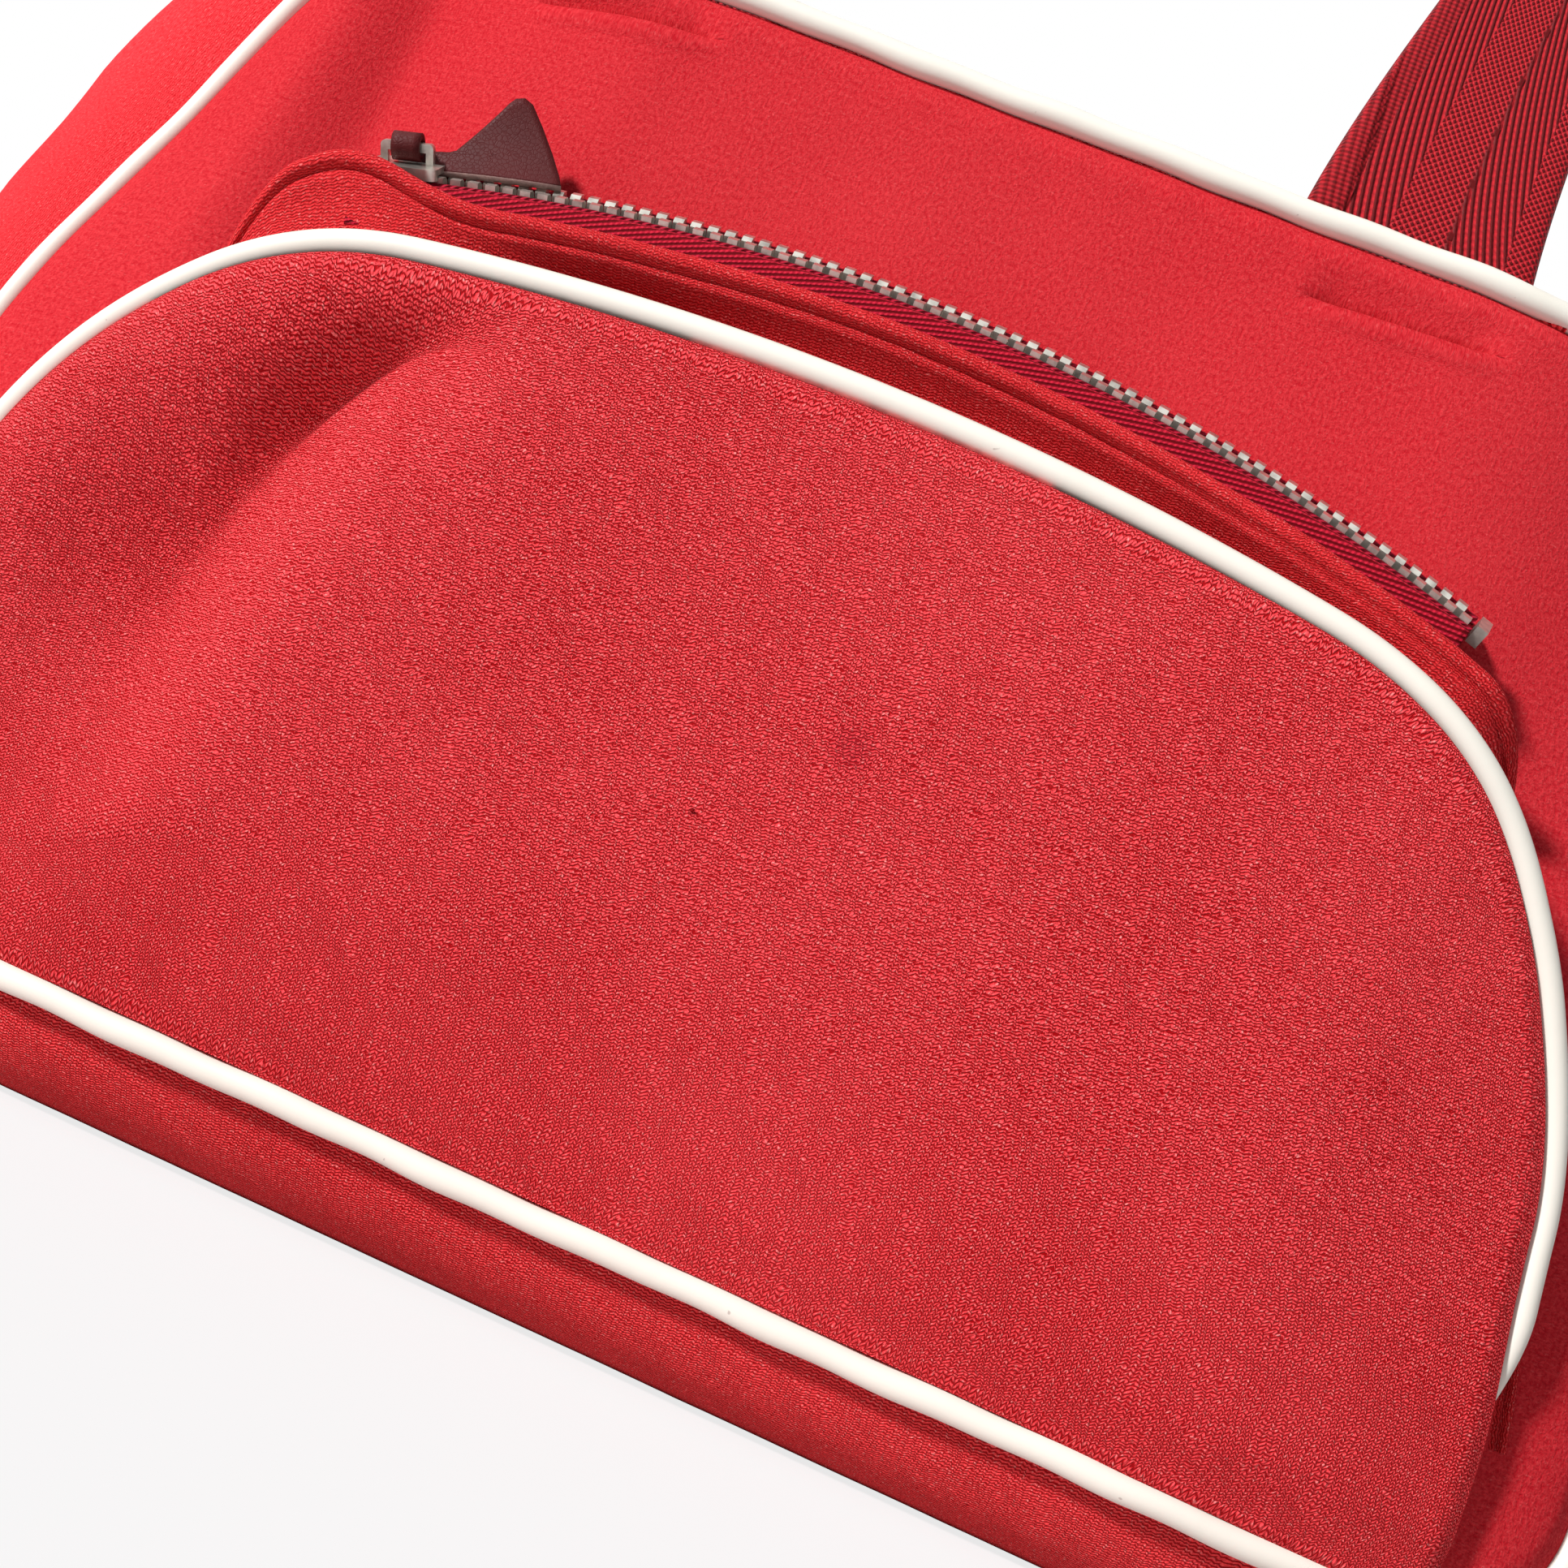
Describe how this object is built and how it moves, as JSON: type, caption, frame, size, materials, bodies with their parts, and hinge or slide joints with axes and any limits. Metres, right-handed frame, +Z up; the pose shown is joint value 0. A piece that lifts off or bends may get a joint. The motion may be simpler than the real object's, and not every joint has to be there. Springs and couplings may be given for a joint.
{
  "type": "handbag",
  "caption": "Small knit bowling-style handbag: trapezoid body with contrast piping, half-moon front pocket with a metal zip, zipped top and webbing handles.",
  "frame": {"origin": "on the ground, under the middle of the bag's bounding box", "axes": "+X to the right as the front is seen, +Y from the front (pocket side) to the back, +Z up"},
  "size_m": [0.316, 0.2434, 0.336],
  "materials": {
    "knit": "matt bonded knit with small V stitches",
    "piping": "soft gloss PVC cord, off-white",
    "webbing": "herringbone woven webbing, dark red",
    "zip_tape": "fine herringbone woven tape, crimson",
    "zip_metal": "bright silver plating",
    "tab_leather": "dark maroon, soft sheen",
    "board": "plain stiffener board"
  },
  "bodies": {
    "bag": {"front_panel": "knit", "back_panel": "knit", "front_piping": "piping", "back_piping": "piping", "base_gusset": "knit", "left_gusset": "knit", "right_gusset": "knit", "top_strip_front": "knit", "top_strip_back": "knit", "base_board": "board", "pocket_face": "knit", "pocket_piping": "piping", "pocket_strip": "knit", "pocket_zip_tape_inner": "zip_tape", "pocket_zip_tape_outer": "zip_tape", "pocket_zip_teeth_inner": "zip_metal", "pocket_zip_teeth_outer": "zip_metal", "pocket_zip_stops": "zip_metal", "top_zip_tape_front": "zip_tape", "top_zip_tape_back": "zip_tape", "top_zip_teeth_front": "zip_metal", "top_zip_teeth_back": "zip_metal", "top_zip_stops": "zip_metal", "front_handle_tails": "webbing", "back_handle_tails": "webbing"},
    "front_handle": {"front_handle": "webbing"},
    "back_handle": {"back_handle": "webbing"},
    "pocket_slider": {"pocket_zip_slider": "zip_metal"},
    "pocket_tab": {"pocket_zip_tab": "tab_leather"},
    "top_slider": {"top_zip_slider": "zip_metal"},
    "top_tab": {"top_zip_tab": "tab_leather"}
  },
  "joints": [
    {"name": "front_handle_fold", "type": "hinge", "parent": "bag", "child": "front_handle", "pos_m": [0, -0.09596, 0.186], "axis": [1, 0, 0], "range_deg": [-20, 95]},
    {"name": "back_handle_fold", "type": "hinge", "parent": "bag", "child": "back_handle", "pos_m": [0, 0.01384, 0.186], "axis": [-1, 0, 0], "range_deg": [-65, 50]},
    {"name": "pocket_slider_run", "type": "hinge", "parent": "bag", "child": "pocket_slider", "pos_m": [0, -0.11056, -0.117], "axis": [0, 1, 0], "range_deg": [0, 32.8]},
    {"name": "pocket_tab_flip", "type": "hinge", "parent": "pocket_slider", "child": "pocket_tab", "pos_m": [-0.07351, -0.11327, 0.13601], "axis": [0.9603, 0, 0.279], "range_deg": [0, 150]},
    {"name": "top_slider_run", "type": "slide", "parent": "bag", "child": "top_slider", "axis": [1, 0, 0], "range_m": [-0.13, 0]},
    {"name": "top_tab_flip", "type": "hinge", "parent": "top_slider", "child": "top_tab", "pos_m": [0.065, -0.04106, 0.19325], "axis": [-1, 0, 0], "range_deg": [0, 105]}
  ]
}
